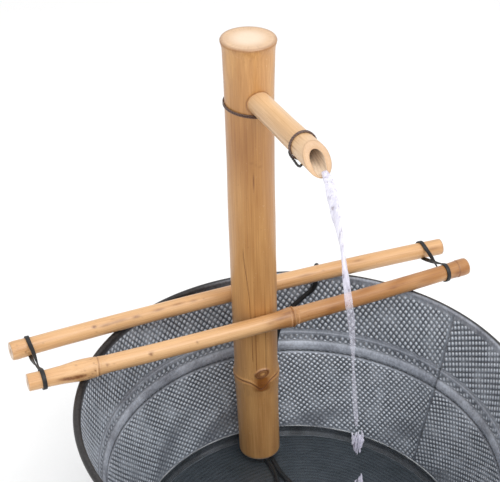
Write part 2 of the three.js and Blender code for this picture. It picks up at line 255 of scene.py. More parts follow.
# ---------- material helpers ----------
class Shader:
    """A material's nodes, with short calls for the ones used here."""

    def __init__(self, name, **constants):
        self.material = bpy.data.materials.new(name)
        self.material.use_nodes = True
        self.tree = self.material.node_tree
        self.surface = self.tree.nodes["Principled BSDF"]
        for key, value in constants.items():
            self.surface.inputs[key.replace("_", " ")].default_value = value

    def add(self, kind, inputs=(), **settings):
        n = self.tree.nodes.new(kind)
        for key, value in settings.items():
            setattr(n, key, value)
        for key, value in dict(inputs).items():
            if isinstance(value, bpy.types.NodeSocket):
                self.tree.links.new(value, n.inputs[key])
            else:
                n.inputs[key].default_value = value
        return n

    def value(self, key, vector=False):
        """A point value of the mesh."""
        n = self.add("ShaderNodeAttribute", attribute_name=key)
        return n.outputs["Vector" if vector else "Fac"]

    def place(self):
        return self.add("ShaderNodeTexCoord").outputs["Object"]

    def scaled(self, vector, scale):
        return self.add("ShaderNodeMapping", {"Vector": vector, "Scale": scale}).outputs[0]

    def noise(self, scale, detail, roughness, at=None, stretch=None):
        """Noise at a place, the object's own if none is given, with its axes scaled by stretch."""
        at = self.place() if at is None else at
        at = self.scaled(at, stretch) if stretch else at
        return self.add("ShaderNodeTexNoise", {"Vector": at, "Scale": scale, "Detail": detail,
                        "Roughness": roughness}).outputs["Fac"]

    def math(self, operation, a, b=0.0, c=0.0, clamp=False):
        return self.add("ShaderNodeMath", {0: a, 1: b, 2: c}, operation=operation, use_clamp=clamp).outputs[0]

    def line(self, a, slope, offset):
        return self.math("ADD", self.math("MULTIPLY", a, slope), offset)

    def weighted(self, a, a_share, b, b_share):
        return self.line(a, a_share, self.math("MULTIPLY", b, b_share))

    def ramp(self, factor, *stops):
        """Stops are (position, colour or grey value)."""
        n = self.add("ShaderNodeValToRGB", {"Fac": factor})
        while len(n.color_ramp.elements) < len(stops):
            n.color_ramp.elements.new(0.5)
        for e, (at, colour) in zip(n.color_ramp.elements, stops):
            e.position = at
            e.color = (*colour, 1) if hasattr(colour, "__len__") else (colour, colour, colour, 1)
        return n.outputs[0]

    def mix(self, factor, a, b, mode="MIX"):
        n = self.add("ShaderNodeMix", data_type="RGBA", blend_type=mode)
        for socket, value in ((n.inputs[0], factor), (n.inputs[6], a), (n.inputs[7], b)):
            if isinstance(value, bpy.types.NodeSocket):
                self.tree.links.new(value, socket)
            elif hasattr(value, "__len__"):
                socket.default_value = (*value, 1)
            else:
                socket.default_value = value
        return n.outputs[2]

    def bump(self, height, distance):
        inputs = {"Height": height, "Distance": distance * MM, "Strength": 1.0}
        return self.add("ShaderNodeBump", inputs).outputs[0]

    def finish(self, **sockets):
        for key, value in sockets.items():
            self.tree.links.new(value, self.surface.inputs[key.replace("_", " ")])
        return self.material


def shade(colour, factor):
    return tuple(min(1, factor * c) for c in colour)


BAMBOO_STAIN = (0.16, 0.05, 0.010)
BAMBOO_PALE = (0.78, 0.62, 0.46)
# BAMBOO_BROWN also darkens the post's painted shadow under the spout.
BAMBOO_BROWN = (0.50, 0.33, 0.12)  # what browner skin is multiplied by


def bamboo(name, light, dark, rough=0.42):
    """Dried bamboo. Point values: grain (mm across, across, along), mark (stains, and inside the spout's bore
    painted shade), cut (bare end grain), brown (browner skin, and on the post a painted shadow under the
    spout)."""
    s = Shader(name, IOR=1.5, Coat_Weight=0.25, Coat_Roughness=0.22)
    grain = s.value("grain", vector=True)
    fibre = s.noise(1.0, 6, 0.65, grain, (1.1, 1.1, 0.012))
    broad = s.noise(1.0, 3, 0.5, grain, (0.09, 0.09, 0.012))
    fine = s.noise(1.0, 3, 0.6, grain, (5.5, 5.5, 0.06))
    tone = s.weighted(fibre, 0.55, broad, 0.45)
    middle = tuple((a + b) / 2 for a, b in zip(light, dark))
    skin = s.ramp(tone, (0.36, dark), (0.5, middle), (0.64, light))
    skin = s.mix(s.ramp(fine, (0.32, 0.34), (0.5, 0.0)), skin, dark)
    flecks = s.noise(1.0, 2, 0.5, grain, (0.9, 0.9, 0.28))
    skin = s.mix(s.ramp(flecks, (0.70, 0.0), (0.78, 0.55)), skin, BAMBOO_STAIN)
    skin = s.mix(s.ramp(flecks, (0.24, 0.3), (0.3, 0.0)), skin, BAMBOO_PALE)
    # Browner skin; on the post this also carries a painted shadow under the spout.
    skin = s.mix(s.value("brown"), skin, s.mix(1.0, skin, BAMBOO_BROWN, "MULTIPLY"))
    ends = s.noise(1.0, 3, 0.6, grain, (2.6, 2.6, 0.4))
    wood = s.ramp(ends, (0.35, shade(BAMBOO_PALE, 0.8)), (0.6, BAMBOO_PALE))
    skin = s.mix(s.value("cut"), skin, wood)
    blotch = s.noise(1.0, 4, 0.6, grain, (0.6, 0.6, 0.5))
    # Marks are stains, and inside the spout's bore painted shade.
    stain_and_bore_shade = s.math("MULTIPLY", s.value("mark"), s.ramp(blotch, (0.3, 0.7), (0.62, 1.0)), clamp=True)
    skin = s.mix(stain_and_bore_shade, skin, BAMBOO_STAIN)
    height = s.weighted(fine, 0.5, fibre, 0.5)
    shine = s.line(fibre, 0.22, rough - 0.11)
    return s.finish(Base_Color=skin, Roughness=shine, Normal=s.bump(height, 0.12))


def rubber(name, colour, rough):
    s = Shader(name, IOR=1.5)
    grime = s.noise(900.0, 3, 0.6)
    wide = s.noise(75.0, 2, 0.5)
    tint = s.ramp(wide, (0.35, shade(colour, 0.6)), (0.65, shade(colour, 1.5)))
    shine = s.line(grime, 0.25, rough - 0.12)
    return s.finish(Base_Color=tint, Roughness=shine, Normal=s.bump(grime, 0.08))


def lace(name, colour):
    """Twisted waxed lace. Point value: twist, in turns along and round the strand."""
    s = Shader(name, IOR=1.5, Coat_Weight=0.5, Coat_Roughness=0.15)
    ply = s.math("SINE", s.math("MULTIPLY", s.value("twist"), 2 * math.pi))
    fuzz = s.noise(2500.0, 3, 0.6)
    # Painted shade between the two plies, lighter on their crowns.
    tint = s.ramp(s.weighted(ply, 0.25, fuzz, 0.8),
                  (0.15, shade(colour, 0.45)), (0.75, shade(colour, 1.7)))
    height = s.line(ply, 0.5, fuzz)
    shine = s.line(fuzz, 0.3, 0.4)
    return s.finish(Base_Color=tint, Roughness=shine, Normal=s.bump(height, 0.12))


DOT_PITCH = 4.4  # between the embossed rows, along either diagonal


def zinc(name):
    """Embossed galvanised sheet. Point values: flat (mm on the unrolled sheet), dots, rim (a painted dark
    reflection on the rolled rim), grime (darker below the waterline and where scuffed, a dark line down the
    lap seam, and painted shade along the grooves).
    """
    s = Shader(name, Metallic=0.35, IOR=1.5)
    flat = s.value("flat", vector=True)
    parts = s.add("ShaderNodeSeparateXYZ", {0: flat})
    turn = 2 * math.pi / DOT_PITCH / math.sqrt(2)
    u = s.math("MULTIPLY", s.math("ADD", parts.outputs[0], parts.outputs[1]), turn)
    v = s.math("MULTIPLY", s.math("SUBTRACT", parts.outputs[0], parts.outputs[1]), turn)
    half = [s.math("MULTIPLY_ADD", s.math("COSINE", w), 0.5, 0.5) for w in (u, v)]
    dot = s.math("MULTIPLY", s.math("MULTIPLY", *half), s.value("dots"))
    cloud = s.noise(28.0, 4, 0.6)
    spangle = s.noise(420.0, 3, 0.6)
    plain = s.ramp(s.weighted(cloud, 0.6, spangle, 0.4),
                   (0.36, (0.25, 0.27, 0.32)), (0.62, (0.62, 0.67, 0.76)))
    # The dots' tops are lighter, partly worn bare and partly a painted highlight; the hollows between them
    # hold painted shade.
    raised = s.ramp(dot, (0.02, (0.075, 0.085, 0.105)), (0.13, (0.28, 0.31, 0.36)), (0.5, (0.86, 0.92, 1.0)))
    worn = s.ramp(cloud, (0.38, (0.26, 0.29, 0.33)), (0.62, (0.60, 0.65, 0.73)))
    dotted = s.mix(s.ramp(s.noise(55.0, 4, 0.65), (0.42, 0.12), (0.66, 0.62)), raised, worn)
    dotted = s.mix(s.ramp(spangle, (0.35, 0.25), (0.65, 0.0)), dotted, (0.20, 0.22, 0.25))
    tint = s.mix(s.value("dots"), plain, dotted)
    # Painted dark reflection on the rolled rim.
    dark = s.ramp(spangle, (0.3, (0.014, 0.013, 0.014)), (0.7, (0.045, 0.042, 0.043)))
    tint = s.mix(s.value("rim"), tint, dark)
    # Darker below the waterline and where scuffed, a dark lap seam, and painted shade along the grooves.
    darkening = s.math("MULTIPLY", s.value("grime"), s.ramp(cloud, (0.3, 0.8), (0.6, 1.0)), clamp=True)
    tint = s.mix(darkening, tint, (0.022, 0.026, 0.031))
    height = s.weighted(dot, 1.6, spangle, 0.22)
    shine = s.ramp(s.weighted(cloud, 0.5, spangle, 0.5), (0.35, 0.33), (0.65, 0.52))
    return s.finish(Base_Color=tint, Roughness=shine, Normal=s.bump(height, 0.35))


def plain_zinc(name):
    s = Shader(name, Metallic=0.75, IOR=1.5)
    cloud = s.noise(40.0, 5, 0.65)
    rings = s.add("ShaderNodeTexWave", {"Vector": s.place(), "Scale": 70.0, "Distortion": 3.0,
                  "Detail": 3.0}, wave_type="RINGS", rings_direction="Z").outputs["Fac"]
    brushed = s.noise(1.0, 3, 0.6, stretch=(60.0, 900.0, 60.0))
    fine = s.weighted(rings, 0.14, brushed, 0.36)
    tint = s.ramp(s.line(cloud, 0.5, fine),
                  (0.32, (0.038, 0.048, 0.06)), (0.66, (0.105, 0.125, 0.147)))
    shine = s.line(cloud, 0.3, 0.3)
    return s.finish(Base_Color=tint, Roughness=shine, Normal=s.bump(rings, 0.12))


def moulded(name, colour, rough, metallic=0.0):
    s = Shader(name, Metallic=metallic, IOR=1.5)
    grain = s.noise(1600.0, 3, 0.6)
    wide = s.noise(90.0, 3, 0.5)
    tint = s.ramp(wide, (0.3, shade(colour, 0.75)), (0.7, shade(colour, 1.2)))
    shine = s.line(grain, 0.2, rough - 0.1)
    return s.finish(Base_Color=tint, Roughness=shine, Normal=s.bump(grain, 0.05))


def copper_wire(name):
    s = Shader(name, Metallic=1.0, IOR=1.5)
    turns = s.add("ShaderNodeTexWave", {"Vector": s.place(), "Scale": 700.0}, wave_type="BANDS",
                  bands_direction="Z").outputs["Fac"]
    # Painted shade between the turns of wire, lighter on their crowns.
    tint = s.ramp(turns, (0.1, (0.20, 0.06, 0.03)), (0.6, (0.68, 0.28, 0.13)))
    shine = s.ramp(turns, (0.0, 0.5), (1.0, 0.3))
    return s.finish(Base_Color=tint, Roughness=shine, Normal=s.bump(turns, 0.1))


def pool_top(name):
    """Dark, still water. Point value: edge, where it curls up and glints."""
    s = Shader(name, IOR=1.6)
    edge = s.value("edge")
    depth = s.noise(14.0, 4, 0.55)
    tint = s.ramp(depth, (0.35, (0.030, 0.040, 0.046)), (0.65, (0.060, 0.074, 0.083)))
    fine = s.noise(260.0, 3, 0.55, stretch=(1.0, 1.6, 1.0))
    shine = s.ramp(fine, (0.3, 0.04), (0.7, 0.09))
    # Painted white glint along the water's edge and round the post's foot.
    tint = s.mix(edge, tint, (0.92, 0.96, 1.0))
    broken = s.noise(40.0, 2, 0.5)
    white = s.math("MULTIPLY", edge, s.ramp(broken, (0.4, 0.08), (0.65, 0.5)))
    cover = s.math("ADD", s.ramp(depth, (0.3, 0.08), (0.7, 0.14)), white, clamp=True)
    return s.finish(Alpha=cover, Base_Color=tint, Roughness=shine, Normal=s.bump(fine, 0.15))


def clear(name, colour, alpha, rough, scale):
    s = Shader(name, Alpha=alpha, IOR=1.33)
    fine = s.noise(scale, 2, 0.5)
    tint = s.ramp(fine, (0.3, shade(colour, 0.85)), (0.7, colour))
    return s.finish(Base_Color=tint, Roughness=s.ramp(fine, (0.3, rough), (0.7, rough + 0.06)))


def falling_water(name):
    """Falling water in painted white highlights over darker grey streaks. Point value: body, how solid it
    looks.
    """
    s = Shader(name, IOR=1.33)
    fine = s.noise(420.0, 3, 0.6, stretch=(1.0, 1.0, 0.14))
    # Painted highlights: whitish lilac over darker grey.
    tint = s.ramp(fine, (0.33, (0.28, 0.24, 0.28)), (0.41, (0.66, 0.64, 0.76)),
                  (0.66, (0.84, 0.83, 0.93)))
    streaks = s.noise(300.0, 2, 0.5, stretch=(1.0, 1.0, 0.10))
    cover = s.math("MULTIPLY", s.ramp(streaks, (0.36, 0.62), (0.62, 1.0)), s.value("body"), clamp=True)
    shine = s.ramp(fine, (0.3, 0.05), (0.7, 0.15))
    return s.finish(Alpha=cover, Base_Color=tint, Roughness=shine, Normal=s.bump(fine, 0.25))


# ---------- camera ----------
CAMERA_AT = (-359.07, -706.35, 833.88)
CAMERA_YAW = 0.3986
CAMERA_PITCH = 0.5614
CAMERA_ROLL = -0.0029
CAMERA_LENS = 82.448
CAMERA_SHIFT = (0.00686, 0.02156)


def add_camera():
    data = bpy.data.cameras.new("camera")
    data.sensor_width = 36
    data.lens = CAMERA_LENS
    data.shift_x, data.shift_y = CAMERA_SHIFT
    data.clip_end = 20
    camera = bpy.data.objects.new("camera", data)
    bpy.context.scene.collection.objects.link(camera)
    forward = Vector((math.sin(CAMERA_YAW) * math.cos(CAMERA_PITCH),
                      math.cos(CAMERA_YAW) * math.cos(CAMERA_PITCH), -math.sin(CAMERA_PITCH)))
    right = Vector((math.cos(CAMERA_YAW), -math.sin(CAMERA_YAW), 0))
    up = right.cross(forward)
    level = Matrix((right, up, -forward)).transposed()
    rolled = level @ Matrix.Rotation(CAMERA_ROLL, 3, "Z")
    camera.matrix_world = Matrix.Translation(Vector(CAMERA_AT) * MM) @ rolled.to_4x4()
    bpy.context.scene.camera = camera


# ---------- cord ----------
CORD_ROUTE = [
    (17.1, 141.7, 34.5), (17.2, 141.6, 30), (16.9, 139, 20.7), (16, 132, 13.5), (14.6, 122.4, 10.8),
    (14.8, 113, 10.8), (14.3, 102, 10.8), (14.4, 89, 10.8), (17.5, 75, 10.8), (24, 56, 10.8),
    (30, 32, 10.8), (25, 7, 10.8), (6, -9, 10.8), (-16, -2, 10.8), (-23, 21, 10.8), (-14, 45, 10.8),
    (1, 66, 10.8), (7, 84, 10.8), (8.8, 98, 10.8), (9.1, 110, 10.8), (8.7, 121, 10.8), (9.8, 131, 10.8),
    (14.2, 140.3, 10.8), (20.5, 145.6, 11), (26.6, 148, 13.6), (33, 150.6, 20.9), (35.9, 152.2, 32),
    (38, 159.4, 60), (41.2, 168.7, 97), (46, 174.2, 122), (53, 175.8, 138), (61.7, 175.1, 150.5),
    (74.1, 172.6, 162.8), (83.3, 169.3, 172.6), (85.7, 167.9, 181), (86.8, 170.2, 188.8),
    (91.2, 178.2, 192.8), (96.4, 187.1, 187.4), (98.5, 190.5, 177), (98.6, 190.8, 150), (98.6, 190.8, 90),
    (98.6, 190.8, 40), (98, 190.8, 24), (92.2, 190.6, 9.6), (79, 188.8, 3.1), (62.8, 185.6, 2.9),
]
TAIL_ROUTE = [(64.3, 243, 3.4), (78, 240.8, 2.8), (92, 240.2, 4), (104, 240.2, 7.2), (112, 240.2, 7.6)]
COIL_PITCH = 5.05  # from turn to turn and from layer to layer
COIL_TURNS = 5.5
COIL_STEPS = 24  # points in a turn
COIL_RADIUS = 27
COIL_LOW = 2.9
COIL_END = (50, 246.4, 7.9)
CORD_GAP = 1.4  # between points of its centreline
CORD_SIDES = 14


def coil_points():
    """Three turns inwards on the table, a climb, then outwards on top of them."""
    points = []
    for k in range(2, int(COIL_TURNS * COIL_STEPS)):
        t = k / COIL_STEPS
        inward = step(t, 0.85, 1) + step(t, 1.85, 2)
        outward = step(t, 3.42, 3.6) + step(t, 4.42, 4.6)
        r = COIL_RADIUS + COIL_PITCH * (1 - inward + outward)
        z = COIL_LOW + COIL_PITCH * step(t, 2.62, 2.85)
        a = -math.pi / 2 - 2 * math.pi * t
        points.append((COIL_CENTRE[0] + r * math.cos(a), COIL_CENTRE[1] + r * math.sin(a), z))
    return points


def add_cord(material):
    line = CORD_ROUTE + coil_points() + [COIL_END] + TAIL_ROUTE
    route = even(smooth_line(line, 8), CORD_GAP)
    rings = tube_rings(route, CORD_RADIUS, CORD_SIDES)
    cord = solid("power_lead", [{"rings": rings}], material, "tub")
    cord.parent = None
    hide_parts("power_cord", "cord_tail", "cord_coil")
    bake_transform(cord)
    return cord, route


def add_coil_tie(material):
    """A flat twist tie round all the coil's turns."""
    half_wide, half_high, half_strip, thick, height = 8.4, 5.0, 2, 0.55, 5.45
    a = math.radians(205)
    out = np.array([math.cos(a), math.sin(a), 0])
    middle = np.array([*COIL_CENTRE, height]) + out * COIL_RADIUS
    loop = np.array([middle + out * (x * half_wide) + (0, 0, z * half_high)
                     for x, z in rounded_square(40, 0.45)])
    strip = np.cross(out, (0, 0, 1)) * half_strip
    centre = loop.mean(0)
    rings = []
    for p in loop:
        away = (p - centre) / np.linalg.norm(p - centre) * thick
        rings.append([p - strip, p + strip, p + strip + away, p - strip + away])
    return solid("coil_tie", [{"rings": rings, "loop": True}], material, "tub", flat=True)


def add_plug(material):
    """Moulded plug: a rounded block that narrows to a ribbed neck where the cord enters."""
    low, high = (np.array(v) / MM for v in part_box("plug_body"))
    middle = (low + high) / 2
    half = (high - low) / 2
    # Each station is (distance from the neck's end, share of the width, share of the height).
    stations = [(0, 0.30, 0.42), (0.4, 0.34, 0.46)]
    for k in range(5):
        at = 1.2 + 2.0 * k
        stations += [(at, 0.36, 0.48), (at + 0.5, 0.44, 0.58), (at + 1.1, 0.44, 0.58), (at + 1.5, 0.36, 0.48)]
    stations += [(12, 0.5, 0.62), (14.5, 0.86, 0.9), (16.5, 0.97, 0.98), (22, 1, 1), (27.8, 1, 1),
                 (29.3, 0.97, 0.95), (30, 0.9, 0.86)]
    rings = [[(low[0] + at, middle[1] + y * half[1] * wide, middle[2] + z * half[2] * tall)
              for y, z in rounded_square(48, 0.42)] for at, wide, tall in stations]
    plug = solid("plug", [{"rings": rings}], material, "tub")
    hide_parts("plug_body")
    return plug


# ---------- post ----------
# Height and radius.
POST_RADII = [
    (0, 20.9), (1.2, 21.0), (30, 21.2), (63, 21.4), (85, 21.8), (95, 22.9), (102, 23.3), (108, 22.4),
    (116, 21.9), (127, 21.7), (176, 22.0), (223, 22.0), (257, 22.0), (310, 21.8), (341, 21.6), (380, 21.8),
    (411, 21.9), (422, 22.1), (434, 22.5), (445, 22.8), (450, 23.2), (455.6, 24.6), (457, 24.1),
]
POST_RADIUS = 22  # nominal, to turn an angle into a length round the skin
BUD_ANGLE, BUD_HEIGHT = -97, 114.5
SLIT_ANGLE, SLIT_HEIGHT = -106.5, 331


def scar_height(a):
    """Height of the sheath scar round the post: it dips under the bud."""
    off = turned_angle(a, -101)
    return 105 - 9.2 * np.exp(-((np.abs(off) / 17) ** 1.7)) + 1.2 * np.sin(np.radians(off))


def bud_across(a):
    """How far round the skin a point is from the bud's middle."""
    return turned_angle(a, BUD_ANGLE) * math.pi / 180 * POST_RADIUS


def bud_distance(a, z):
    """0 at the bud's middle and about 1 on its tilted oval edge."""
    across, up, tilt = bud_across(a), z - BUD_HEIGHT, math.radians(14)
    long = (across * math.cos(tilt) + up * math.sin(tilt)) / 6.6
    short = (-across * math.sin(tilt) + up * math.cos(tilt)) / 4.4
    return np.hypot(long, short)


def post_outside():
    """Angle, height, radius, marks and bare wood over the post's skin."""
    heights = np.unique(np.r_[np.arange(1.2, 84, 2.2), np.arange(84, 132, 0.6), np.arange(132, 384, 2.2),
                              np.arange(384, 420, 0.9), np.arange(420, 455.6, 1.8), 455.6])
    angles = np.linspace(0, 2 * np.pi, 224, endpoint=False)
    z, a = np.meshgrid(heights, angles, indexing="ij")
    r = np.interp(z, *np.array(POST_RADII).T)
    r = r + 0.10 * waves(3, (a * 22, 26), (z, 90)) + 0.05 * waves(4, (a * 22, 7), (z, 160))
    scar = scar_height(a)
    r = r + 0.5 * hump(z, scar + 1.3, 1.1) - 0.75 * hump(z, scar - 0.4, 0.75)
    r = r + 0.25 * hump(z, scar - 3.2, 1.6)
    across, bud = bud_across(a), bud_distance(a, z)
    r = r + 1.7 * (1 - step(bud, 0.95, 1.35)) - 0.8 * hump(bud, 0.78, 0.10) - 0.5 * (1 - step(bud, 0.3, 0.7))
    channel = step(z, 116, 121) * (1 - step(z, 150, 235))
    ridges = 0.35 * hump(across, -5.6, 0.9) + 0.3 * hump(across, 4.8, 0.9)
    r = r - channel * (0.55 * hump(across, 0, 4.2) - ridges)
    crack_at = np.interp(z, [128, 160, 208, 250, 262], [-120, -121, -124.7, -136, -137])
    crack = near_angle(a, crack_at, 0.9) * step(z, 127, 133) * (1 - step(z, 252, 262))
    slit = near_angle(a, SLIT_ANGLE, 1.3) * hump(z, SLIT_HEIGHT, 7)
    r = r - 0.25 * crack - 0.5 * slit
    from_spout = np.hypot(POST_RADIUS * np.cos(a), z - SPOUT_HEIGHT)
    joint = hump(from_spout, 10.8, 0.5) * (np.sin(a) < -0.3)
    r = r - 0.55 * joint
    torn = hump(across, -0.5, 5.0) * step(z, 92, 96) * (1 - step(z, 103, 109)) * (z > scar - 4)
    r = r + torn * 0.35 * waves(9, (across, 3.2), (z, 2.4))
    mark = 1.1 * hump(z, scar - 0.4, 1.0) + 0.7 * joint + 1.1 * crack + 1.3 * slit
    mark = mark + 1.5 * hump(bud, 0.93, 0.2) + 0.9 * hump(bud, 0.5, 0.2) + 0.35 * torn
    mark = mark + 0.8 * channel * (hump(across, -5.4, 0.45) + hump(across, 4.6, 0.45))
    for centre, height, wide in ((-110, 349.5, 5), (-100, 347, 4), (-90, 345, 6), (-97, 351, 3)):
        mark = mark + 0.35 * near_angle(a, centre, wide) * hump(z, height, 0.8)
    mark = mark + 0.5 * step(z, 453.5, 455.6)
    return a, z, r, mark, np.zeros_like(z)


def bud_patch(a, z):
    """Where the torn orange-brown patch hangs between the bud and the scar."""
    return np.clip(1.6 * hump(bud_across(a), 0, 6.5) * step(z, 91, 95) * (1 - step(z, 107, 111)), 0, 1)


def bowed(x, y, z, at):
    """A point of the post's own frame, carried off the straight axis by the culm's bow at a height."""
    bow = np.interp(at, [0, 60, 120, 300, 400, POST_LENGTH], [0, 0.8, 1.4, 1.4, 0.8, 0.2])
    return xyz(x - 0.92 * bow, y + 0.39 * bow, z)


def add_post(material):
    a, z, r, mark, cut = post_outside()
    angles = a[0]

    def rows(profile, mark_value, cut_value):
        """Round rows from (radius, height) pairs."""
        shape = (len(profile), len(angles))
        radii, heights = zip(*profile)
        columns = (heights, radii, mark_value, cut_value)
        return angles + np.zeros(shape), *(np.reshape(v, (-1, 1)) + np.zeros(shape) for v in columns)

    inside = [(0.5, 438), (8, 438), (POST_BORE, 437), (POST_BORE, 380), (POST_BORE, 200), (POST_BORE, 60),
              (POST_BORE, 6), (POST_BORE + 0.3, 1), (POST_BORE + 0.8, 0.1), (19.9, 0), (20.5, 0.35)]
    top = [(24.0, 456.75)] + [(radius, POST_LENGTH) for radius in (23.4, 21, 18.5, 16, 12, 8, 4, 0.8)]
    top_cut = [0.4, 0.45, 0.45, 0.48, 0.58, 0.82, 0.97, 1, 1]
    chunks = [rows(inside, 0.15, 1), (a, z, r, mark, cut), rows(top, 0.0, top_cut)]
    a, z, r, mark, cut = (np.vstack(c) for c in zip(*chunks))
    top_edge = hump(r, 23.7, 0.6) * (z > 455)
    ticks = step(waves(17, (a * 22, 2.2), (r, 60)), 0.1, 0.9) * hump(r, 19.5, 2.6) * (z > 456.9)
    mark = np.clip(mark, 0, 1) + 0.6 * top_edge + 0.4 * ticks
    sloped = step(z, 440, 457) * (0.9 + 1.2 * r * np.sin(a) / 24)  # the top is sawn slightly out of square
    x, y = r * np.cos(a), r * np.sin(a)
    # Browner skin: the torn patch by the bud, and a painted shadow of the spout round the post below it.
    patch_and_spout_shadow = (z < 140) * bud_patch(a, z) + 0.4 * hump(z, 362, 42)
    part = {"rings": from_post(bowed(x, y, z + sloped, z)), "grain": xyz(x, y, z),
            "mark": np.clip(mark, 0, 1), "cut": cut, "brown": patch_and_spout_shadow}
    post = solid("bamboo_post", [part], material, "post")
    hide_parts("post")


# ---------- spout ----------
def add_spout(material):
    """A thick-walled tube along -Y, its mouth cut on a slant that faces up and out."""
    angles = np.linspace(0, 2 * np.pi, 128, endpoint=False)
    slant = (SPOUT_CUT_TOP - SPOUT_LIP) / 2
    middle = -(SPOUT_CUT_TOP + SPOUT_LIP) / 2
    outer = np.array([(SPOUT_BACK, 10.2), (0, 10.25), (40, 10.35), (75, 10.5), (100, 10.8), (122, 11.15),
                      (146, 11.25)])
    skin = 10.5  # nominal radius, to turn an angle into a length round the skin
    low_side = np.clip(-np.sin(angles), 0, 1) ** 3
    part = {key: [] for key in ("rings", "grain", "mark", "cut", "brown")}

    def mouth(r, bulge=0.0):
        """Where a line at this radius meets the slanted cut, along the spout."""
        return middle - slant * (r * np.sin(angles)) / MOUTH_RADIUS + bulge

    def bore(y):
        """The bore is round inside and is worn down into a trough towards the lip."""
        return SPOUT_BORE + 0.6 * low_side + 3.9 * low_side * step(y, 112, 143)

    def ring(r, y, mark, cut, brown=0.0):
        x, z = r * np.cos(angles), r * np.sin(angles)
        part["rings"].append(xyz(x, -y, SPOUT_HEIGHT + z))
        part["grain"].append(xyz(x, z, y))
        part["mark"].append(np.clip(mark, 0, 1) + 0 * angles)
        part["cut"].append(cut + 0 * angles)
        part["brown"].append(brown + 0 * angles)

    end = mouth(MOUTH_RADIUS)
    for s in np.linspace(0, 1, 110):
        y = SPOUT_BACK + s * (end - SPOUT_BACK)
        wobble = 0.09 * waves(11, (angles * skin, 16), (y, 60))
        streak = 0.65 * step(waves(12, (angles * skin, 7), (y, 220)), 0.4, 1.0)
        streak = streak + 0.45 * near_angle(angles, 196, 5) * step(y, 25, 45) * (1 - step(y, 80, 112))
        mark = streak * (1 - step(y, 110, 122)) + 0.45 * step(s, 0.985, 1)
        ring(np.interp(y, *outer.T) + wobble, y, mark, 0.25 * step(y, 105, 122))
    bore_end = bore(mouth(9))
    for k, s in enumerate(np.linspace(0, 1, 9)[1:]):
        r = (1 - s) * 11.1 + s * (bore_end + 0.2)
        ring(r, mouth(r, -0.5 * math.sin(math.pi * s)), 0.2 * (k == 7), 0.2, 0.5)
    depth = mouth(bore_end, -0.3)
    for s in np.linspace(0, 1, 60):
        y = depth - s * (depth + 9.3)
        rough = 0.18 * waves(14, (angles * 6, 4), (y, 9)) * step(s, 0, 0.05)
        # Painted shade: darker deeper into the bore, lighter on its open low side.
        dark = 0.1 + 0.75 * step(s, 0.04, 0.3) + 0.25 * waves(15, (angles * 6, 3), (y, 14))
        inner = bore_end + (bore(y) - bore_end) * step(s, 0, 0.05)
        ring(inner + rough, y, dark * (1 - 0.5 * low_side), 1)
    part["rings"] = from_post(part["rings"])
    part["loop"] = True
    spout = solid("bamboo_spout", [part], material, "post")
    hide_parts("spout")


# ---------- laces ----------
LACE_RADIUS = 0.66
LACE_TWIST = 4.5  # length of one turn of its two plies
POST_TIE_RADIUS = 22.8
POST_TIE_HEIGHT = 396.6
SPOUT_TIE_AT = -107
SPOUT_TIE_RADIUS = 11.75
TAIL_OF_TIE = [(-12, 0, -2.8), (-11.1, 0.4, -5.8), (-9.6, 0, -8.7), (-8.2, -1.5, -11.3), (-7.2, -3.8, -13.5),
               (-6.5, -6.2, -14.2), (-6, -8.3, -13.2), (-5.8, -9.6, -11.6)]


def strand(path, radius, closed=False):
    """Rings of a two-ply twisted strand, with the twist's phase as a point value."""
    path = np.asarray(path, float)
    if closed:
        t = loop_directions(path)
        away = path - path.mean(0)
        away -= t * np.einsum("ij,ij->i", away, t)[:, None]
        side = away / np.linalg.norm(away, axis=1)[:, None]
        up = np.cross(t, side)
    else:
        side, up = frames(path)
    along = np.r_[0, np.cumsum(np.linalg.norm(np.diff(path, axis=0), axis=1))]
    length = along[-1] + (np.linalg.norm(path[0] - path[-1]) if closed else 0)
    turns = round(length / LACE_TWIST) if closed else length / LACE_TWIST
    phase = along[:, None] / length * turns
    a = np.linspace(0, 2 * np.pi, 12, endpoint=False)[None]
    r = radius * (1 + 0.13 * np.cos(2 * (a - 2 * np.pi * phase)))
    rings = sweep(path, side, up, np.cos(a) * r, np.sin(a) * r)
    return {"rings": rings, "loop": closed, "twist": 2 * (a / (2 * np.pi) - phase)}


def add_ties(material):
    """The post's lace: two turns side by side and a knot at the back."""
    a = np.linspace(0, 2 * np.pi, 220, endpoint=False)
    bow_at = 398
    hoops = []
    for k in (-1, 1):
        x, y, _ = bowed(POST_TIE_RADIUS * np.cos(a), POST_TIE_RADIUS * np.sin(a), 0, bow_at).T
        z = POST_TIE_HEIGHT - 0.10 * x + 0.105 * y + k * (0.8 + 0.2 * np.sin(3 * a + k))
        hoops.append(strand(from_post(xyz(x, y, z)), LACE_RADIUS, closed=True))
    w = np.linspace(0, 2 * np.pi, 40, endpoint=False)
    for k in (-1, 0, 1):
        loop = xyz(6.0 + 2.4 * k + 0.5 * np.cos(w), 22.6 + 0.4 + 1.5 * np.cos(w), 398.4 + 2.6 * np.sin(w))
        hoops.append(strand(from_post(loop), 0.8, closed=True))
    tie = solid("post_lace", hoops, material, "post")
    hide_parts("post_tie")


def add_spout_tie(material, tail_material):
    a = np.linspace(0, 2 * np.pi, 150, endpoint=False)
    x, up = SPOUT_TIE_RADIUS * np.cos(a), SPOUT_TIE_RADIUS * np.sin(a)
    hoops = []
    for k in (-1, 1):
        y = SPOUT_TIE_AT + 0.07 * up + k * (0.8 + 0.2 * np.sin(2 * a))
        hoops.append(strand(from_post(xyz(x, y, SPOUT_HEIGHT + up)), LACE_RADIUS, closed=True))
    hoop = solid("spout_lace", hoops, material, "post")
    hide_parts("spout_tie")
    path = even(smooth_line(np.array(TAIL_OF_TIE) + (0, SPOUT_TIE_AT, SPOUT_HEIGHT)), 0.5)
    solid("spout_lace_tail", [strand(from_post(path), 1.0)], tail_material, "post")


